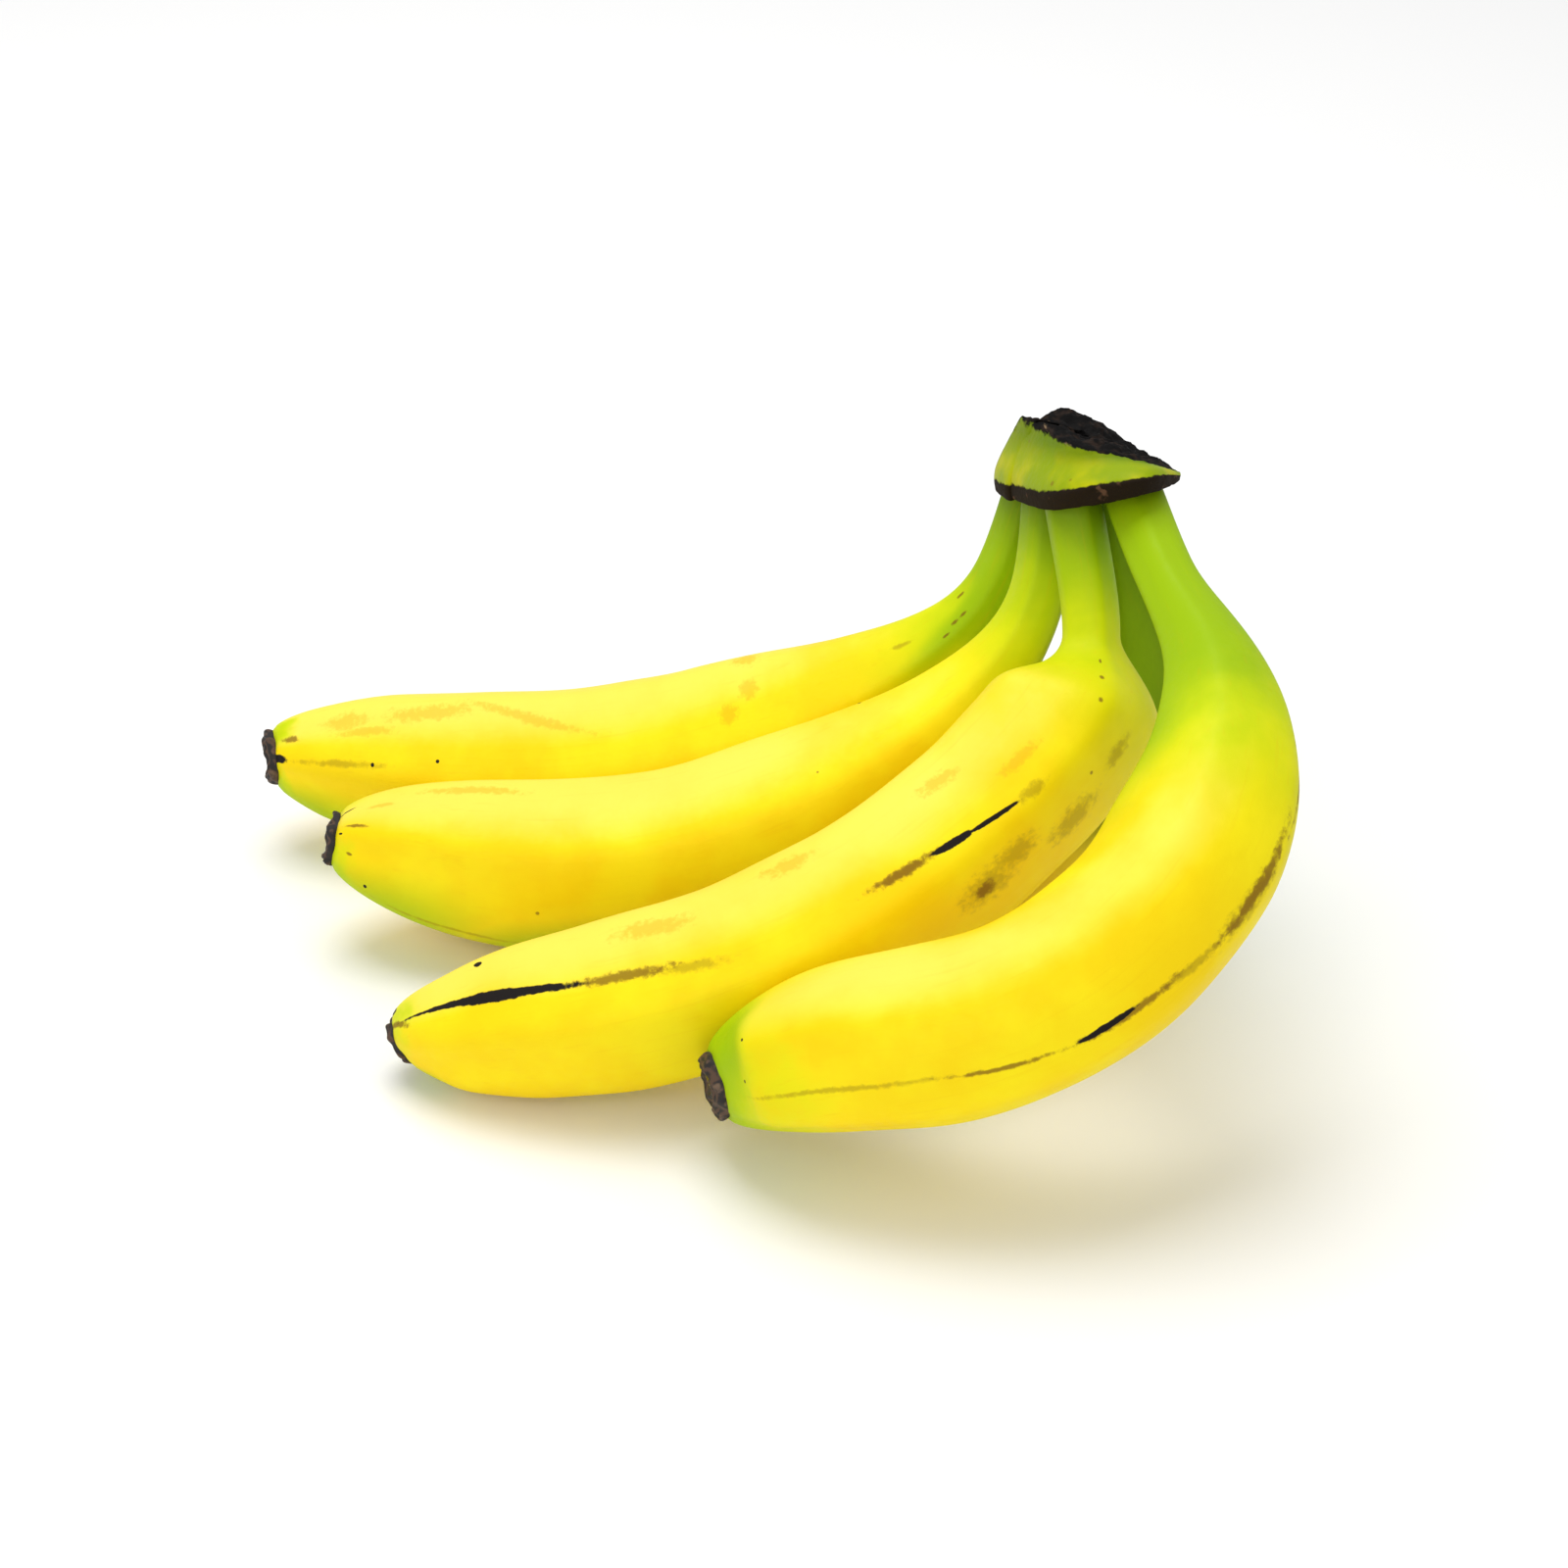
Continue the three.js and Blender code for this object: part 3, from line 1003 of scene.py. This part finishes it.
# Each mark's two ends, as millimetres from the crown and degrees round the fruit, and its width.
MARKS = {
    "finger_1": dict(
        green=[(201, 165, 172, 150, 9), (15, 60, 42, 95, 5)],
        amber=[
            (184, 36, 176, 32, 2.2), (170, 33, 152, 28, 1.8), (150, 25, 124, 50, 1.1),
            (181, 48, 170, 46, 1.2), (84, 12, 78, 18, 2.2), (83, 44, 79, 47, 2.2), (89, 62, 85, 60, 2),
        ],
        olive=[(190, 80, 172, 78, 0.8), (46, 56, 42, 58, 0.8)],
        brown=[
            (193, 44, 190, 50, 1.4), (27, 37, 25, 41, 0.8), (29, 75, 27, 76, 0.7),
            (31.5, 75, 30, 75, 0.8), (35, 83, 33, 83, 0.5),
        ],
        black=[(198, 74, 193, 82, 2.2), (173.4, 78, 172.6, 78, 0.5), (158.4, 72, 157.8, 72, 0.4)],
    ),
    "finger_2": dict(
        green=[(194, 165, 160, 145, 10), (160, 150, 115, 145, 5)],
        amber=[(172, 14, 152, 20, 1.2), (184, 30, 179, 28, 1.0)],
        olive=[(176, 139, 152, 143, 0.35)],
        brown=[(188, 60, 184, 62, 0.6), (187, 100, 186, 100, 0.5)],
        black=[
            (189.3, 72, 188.7, 72, 0.5), (182.4, 130, 181.6, 130, 0.55), (65.6, 2, 64.6, 2, 0.7),
            (191, 24, 187, 18, 0.5),
        ],
    ),
    "finger_3": dict(
        green=[(200, 170, 186, 150, 7)],
        amber=[
            (142, 26, 128, 30, 1.6), (110, 22, 100, 22, 1.4), (74, 32, 66, 34, 1.4),
            (60, 60, 52, 62, 1.2),
        ],
        olive=[
            (136, 60, 124, 67, 0.9), (92, 69, 80, 71, 0.9), (80, 114, 70, 112, 3.0),
            (72, 106, 64, 107, 2.2), (60, 120, 50, 121, 2.2), (44, 113, 38, 112, 1.4),
            (62, 80, 56, 82, 1.0),
        ],
        brown=[
            (193, 30, 188, 52, 1.2), (152, 54, 134, 59, 1.0), (94, 68, 80, 71, 0.8),
            (78, 115, 74, 114, 1.4), (37, 78, 36, 78, 0.4), (31, 75, 30, 74, 0.5),
            (26, 73, 25, 73, 0.4),
        ],
        black=[
            (197, -12, 191, 14, 2.2), (188, 41, 150, 55, 1.1), (178, 45, 160, 52, 1.5),
            (172.6, 11, 171, 15, 0.7), (81, 71, 72, 75, 0.75), (74, 74, 62, 80, 0.45),
        ],
    ),
    "finger_4": dict(
        green=[(10, 10, 84, 0, 10), (192, 60, 182, 74, 14), (20, 90, 44, 80, 9)],
        amber=[(60, 176, 50, 180, 1.6)],
        olive=[(84, 152, 97, 150, 1.6), (147, 131, 180, 129, 0.5), (99, 149, 108, 144, 0.8)],
        brown=[
            (52, 172, 76, 157, 0.5), (78, 151, 97, 150, 1.0), (106, 144, 124, 141, 0.7),
            (128, 139, 142, 133, 0.45),
        ],
        black=[
            (56, 168, 62, 160, 0.4), (113, 141, 124, 141, 0.6), (185.4, 112, 184.6, 113, 0.5),
            (180.2, 78, 179.6, 78, 0.4),
        ],
    ),
    "finger_5": dict(
        green=[(10, 0, 60, 0, 18), (20, 120, 70, 120, 18)],
        amber=[(100, 60, 90, 70, 3)],
        olive=[(120, 150, 90, 150, 1.4)],
        brown=[(70, 72, 60, 74, 0.8)],
        black=[(60.4, 30, 59.6, 30, 0.5)],
    ),
}
MIN_HALF_LENGTH = 0.4


def on_map(along, round_by):
    return np.array([along, radians(round_by) * MAP_RADIUS, 0.0])


def mark_inputs(a, b, width):
    """Where a mark's middle is, and the two directions that measure it, each 1 long at its edge."""
    half = max(np.linalg.norm(b - a) / 2, MIN_HALF_LENGTH)
    run = unit(b - a)
    cross = np.array([-run[1], run[0], 0.0])
    return {"Middle": tuple((a + b) / 2), "Lengthwise": tuple(run / half), "Crosswise": tuple(cross / width)}


def marks_mask(tree, skin_map, pattern, marks, kind):
    """One mask for all the marks of a kind."""
    look = MARK_KINDS[kind]
    ragged = swing(tree, pattern, look["torn"])
    mask = None
    for *start, end_along, end_round, width in marks:
        inputs = {"Map": skin_map, "Ragged": ragged, "Softness": look["softness"]}
        inputs.update(mark_inputs(on_map(*start), on_map(end_along, end_round), width))
        one = place_group(tree, MARK, inputs)["Mask"]
        mask = one if mask is None else maths(tree, "MAXIMUM", mask, one)
    return times(tree, mask, look["cover"])


print("marks:", {name: sum(len(marks) for marks in kinds.values()) for name, kinds in MARKS.items()})

# %% [markdown]
# ## Banana skin
#
# The skin is built up in layers: gold and yellow patches, a painted pale sheen on what faces up,
# the greens at both ends, whose edges wander, painted shade on the necks near the crown, then
# fibres, marks and specks. A scar is duller than the rest, and a black one lies a little deeper.

# %% Banana skin
# How many millimetres of the neck and of the tip are green, and how far the neck gets painted shade.
GREENS_AND_NECK_SHADE = {
    "finger_1": (44, 2, 4),
    "finger_2": (34, 4, 4),
    "finger_3": (30, 4, -6),
    "finger_4": (70, 14, -6),
    "finger_5": (70, 14, 80),
}
WANDER = 40.0
LIME_NECK_FADE = (26.0, -16.0)
GREEN_NECK_FADE = (0.0, -34.0)
# Where the painted neck shade fades out along the neck.
NECK_SHADE_FADE = (12.0, -10.0)
LIME_TIP_REACH = 2.2
GREEN_TIP_REACH = 1.2
GREEN_TIP_BEYOND = 6.0
PATCHES = dict(start=0.35, end=0.65)
# How much the edge of the painted top sheen wanders.
SHEEN_WANDER = 0.3
# How deep the painted neck shade gets.
DEEPEST_NECK_SHADE = 0.8
SKIN_SPECKS = {"Cells": 130.0, "Share": 0.055, "Size": 0.055}
SPECKS_COVER = 0.7
SCARS_DULLER = 0.2
SKIN_SPECULAR = 0.15
FIBRE_HEIGHT = 0.6
SCAR_DEPTH = 1.2


def fade(tree, along, place, span, high=1.0):
    """Sets in along the fruit between two distances from a place."""
    return ease(tree, along, place + span[0], place + span[1], high=high)


def ripeness_and_painted_light(tree, name, along, fibres):
    """The colour under the marks: yellow over the body, green where it ripens last, a painted sheen on top
    and painted shade on the necks.
    """
    length, mottle = FINGERS[name]["length"], fibres["Mottle"]
    neck, tip, neck_shade_reach = GREENS_AND_NECK_SHADE[name]
    colour = blend(tree, ease(tree, mottle, **PATCHES), GOLD, YELLOW)
    # Painted highlight: a pale cream sheen on the points that face up, where the overhead softbox shines.
    painted_sheen = plus(tree, attribute(tree, "upward", "Fac"), swing(tree, mottle, SHEEN_WANDER))
    colour = blend(tree, ease(tree, painted_sheen, start=0.68, end=1.0, high=0.8), colour, SHEEN_CREAM)
    wandering = plus(tree, along, swing(tree, mottle, WANDER))
    lime_neck = fade(tree, wandering, neck, LIME_NECK_FADE)
    lime_tip = fade(tree, wandering, length, (-LIME_TIP_REACH * tip, 0.0))
    colour = blend(tree, maths(tree, "MAXIMUM", lime_neck, lime_tip), colour, LIME)
    green_neck = fade(tree, wandering, neck, GREEN_NECK_FADE)
    green_tip = fade(tree, wandering, length, (-GREEN_TIP_REACH * tip, GREEN_TIP_BEYOND))
    colour = blend(tree, maths(tree, "MAXIMUM", green_neck, green_tip), colour, GREEN)
    # Painted shade: the necks turn deep green near the crown, where they shade one another, and far down the
    # fifth banana, which lies behind the rest.
    neck_shade = fade(tree, along, neck_shade_reach, NECK_SHADE_FADE, DEEPEST_NECK_SHADE)
    colour = blend(tree, neck_shade, colour, PAINTED_SHADE_GREEN)
    return blend(tree, ease(tree, fibres["Fibres"], start=0.55, end=0.8, high=0.14), colour, AMBER)


def skin_material(name):
    material, tree, surface = new_material("skin_" + name[-1])
    straight = attribute(tree, "straight", "Vector")
    shift = tuple(rng.uniform(0, 1, 3))
    shifted = node(tree, "Mapping", {"Vector": straight, "Location": shift}).outputs[0]
    skin_map = place_group(tree, SKIN_MAP, {"Straight": straight})["Map"]
    fibres = place_group(tree, FIBRES, {"Straight": shifted})
    along = node(tree, "SeparateXYZ", {0: skin_map}).outputs["X"]

    colour = ripeness_and_painted_light(tree, name, along, fibres)
    covers = {}
    for kind, look in MARK_KINDS.items():
        pattern = fibres["Mottle"] if kind == "green" else fibres["Grain"]
        covers[kind] = marks_mask(tree, skin_map, pattern, MARKS[name][kind], kind)
        colour = blend(tree, covers[kind], colour, look["colour"])
    specks = place_group(tree, SPECKS, {"Straight": shifted, **SKIN_SPECKS})["Mask"]
    colour = blend(tree, times(tree, specks, SPECKS_COVER), colour, BROWN)
    tree.links.new(colour, surface["Base Color"])

    scarred = maths(tree, "MAXIMUM", covers["brown"], covers["olive"])
    dull = ease(tree, fibres["Grain"], start=0.3, end=0.7, low=0.50, high=0.62)
    dull = plus(tree, dull, times(tree, scarred, SCARS_DULLER))
    tree.links.new(dull, surface["Roughness"])
    surface["Specular IOR Level"].default_value = SKIN_SPECULAR
    raised = times(tree, fibres["Fibres"], FIBRE_HEIGHT)
    raised = plus(tree, raised, fibres["Grain"])
    relief = maths(tree, "SUBTRACT", raised, times(tree, covers["black"], SCAR_DEPTH))
    make_bumpy(tree, surface, relief, strength=0.12, distance=0.0004)
    return material


for name, piece in bananas.items():
    dress(piece, skin_material(name))
print("skins:", [m.name for m in bpy.data.materials if m.name.startswith("skin")])

# %% [markdown]
# ## Dry scab
#
# The blossom ends are corky: brown rings with black between them, and a middle that is still
# moist, so it is black and shines.

# %% Dry scab
CORK = (0.080, 0.040, 0.022)
CORK_LIGHT = (0.20, 0.12, 0.07)
CORK_DARK = (0.012, 0.008, 0.006)
SCAB_TORN = 0.0016
RINGS_PER_METRE = 5200.0
SCAB_ROUGHNESS = 0.72
MOIST_SMOOTHER = 0.5


def dry_material():
    material, tree, surface = new_material("dry_scab")
    straight = attribute(tree, "straight", "Vector")
    xyz = node(tree, "SeparateXYZ", {0: straight}).outputs
    flat = node(tree, "CombineXYZ", {0: xyz["X"], 1: xyz["Y"]}).outputs[0]
    reach = node(tree, "VectorMath", {0: flat}, operation="LENGTH").outputs["Value"]
    grain = noise(tree, straight, scale=420.0, detail=5.0)
    layered = plus(tree, reach, swing(tree, grain, SCAB_TORN))
    rings = maths(tree, "SINE", times(tree, layered, RINGS_PER_METRE))
    colour = blend(tree, ease(tree, rings, start=-0.4, end=0.9), CORK_DARK, CORK)
    colour = blend(tree, ease(tree, grain, start=0.56, end=0.75, high=0.7), colour, CORK_LIGHT)
    moist = ease(tree, layered, start=0.0040, end=0.0028)
    tree.links.new(blend(tree, moist, colour, BLACK), surface["Base Color"])
    smoother = times(tree, moist, MOIST_SMOOTHER)
    tree.links.new(maths(tree, "SUBTRACT", SCAB_ROUGHNESS, smoother), surface["Roughness"])
    make_bumpy(tree, surface, grain, strength=0.6, distance=0.0006)
    return material


scab = dry_material()
for piece in dried_ends.values():
    dress(piece, scab)
print("scab:", scab.name)

# %% [markdown]
# ## Crown
#
# The crown has three finishes that run into each other, so it has one material. The attribute
# "level" says how far up the block a point is: the lip is dark brown, the face is green skin
# with darker specks, and from the edge of the cut on it is black, with paler torn fibres.

# %% Crown
LIP_BROWN = (0.014, 0.008, 0.004)
LIP_SCUFF = (0.12, 0.06, 0.035)
FACE_GREEN = (0.27, 0.37, 0.0)
FACE_YELLOW = (0.50, 0.50, 0.0)
FACE_SHADE = (0.10, 0.19, 0.0)
CUT_BLACK = (0.003, 0.0026, 0.0025)
CUT_BROWN = (0.022, 0.013, 0.009)
TORN_CREAM = (0.30, 0.20, 0.11)
THREAD_MAPPING = {"Scale": (1, 0.35, 2.2), "Rotation": (0.3, 0.5, 0.9)}
CROWN_SPECKS = {"Cells": 330.0, "Share": 0.2, "Size": 0.34}
CROWN_SPECKS_COVER = 0.55
LEVEL_WANDER = 0.5
THREADS_COVER = 0.7
CROWN_ROUGHNESS = 0.5
DRY_ROUGHER = 0.35
CROWN_SPECULAR = 0.12


def face_colour(tree, here, level):
    """The green skin of the block: yellower patches, a shaded hollow and specks."""
    patches = noise(tree, here, scale=90.0, detail=3.0)
    colour = blend(tree, ease(tree, patches, **PATCHES), FACE_GREEN, FACE_YELLOW)
    hollow = ease(tree, plus(tree, level, patches), start=3.9, end=5.2, high=0.8)
    colour = blend(tree, hollow, colour, FACE_SHADE)
    specks = place_group(tree, SPECKS, {"Straight": here, **CROWN_SPECKS})["Mask"]
    return blend(tree, times(tree, specks, CROWN_SPECKS_COVER), colour, BROWN)


def cut_colour(tree, here, level, scuffs):
    """The black cut, with pale threads where it was torn."""
    colour = blend(tree, ease(tree, scuffs, start=0.5, end=0.7), CUT_BLACK, CUT_BROWN)
    drawn_out = node(tree, "Mapping", {"Vector": here, **THREAD_MAPPING}).outputs[0]
    threads = ease(tree, noise(tree, drawn_out, scale=300.0, detail=3.0), start=0.64, end=0.70)
    threads = times(tree, threads, ease(tree, level, start=6.2, end=5.2))
    return blend(tree, times(tree, threads, THREADS_COVER), colour, TORN_CREAM)


def crown_material():
    material, tree, surface = new_material("crown_stem")
    level = attribute(tree, "level", "Fac")
    here = node(tree, "TexCoord").outputs["Object"]
    grain = noise(tree, here, scale=620.0, detail=5.0)
    scuffs = noise(tree, here, scale=380.0, detail=2.0)
    ragged = plus(tree, level, swing(tree, grain, LEVEL_WANDER))
    lip = ease(tree, ragged, start=2.45, end=2.25)
    cut = ease(tree, ragged, start=4.75, end=4.9)
    lip_colour = blend(tree, ease(tree, scuffs, start=0.62, end=0.72, high=0.8), LIP_BROWN, LIP_SCUFF)
    colour = blend(tree, lip, face_colour(tree, here, level), lip_colour)
    colour = blend(tree, cut, colour, cut_colour(tree, here, level, scuffs))
    tree.links.new(colour, surface["Base Color"])
    dry = times(tree, maths(tree, "MAXIMUM", lip, cut), DRY_ROUGHER)
    tree.links.new(plus(tree, CROWN_ROUGHNESS, dry), surface["Roughness"])
    surface["Specular IOR Level"].default_value = CROWN_SPECULAR
    make_bumpy(tree, surface, grain, strength=0.35, distance=0.0006)
    return material


dress(crown, crown_material())
print("crown material:", crown.data.materials[0].name)

# %% [markdown]
# ## Put together
#
# Nothing moves in a bunch of bananas, so every piece rides on the one body, called root. Each
# piece stands for its CAD node.

# %% Put together
for name, piece in bananas.items():
    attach(piece, "root")
    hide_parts(name)
for name, piece in dried_ends.items():
    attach(piece, "root")
    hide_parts("blossom_end_" + name[-1])
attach(crown, "root")
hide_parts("crown")

low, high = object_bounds()
print("visual box, mm:", [round(v / MM) for v in high - low])
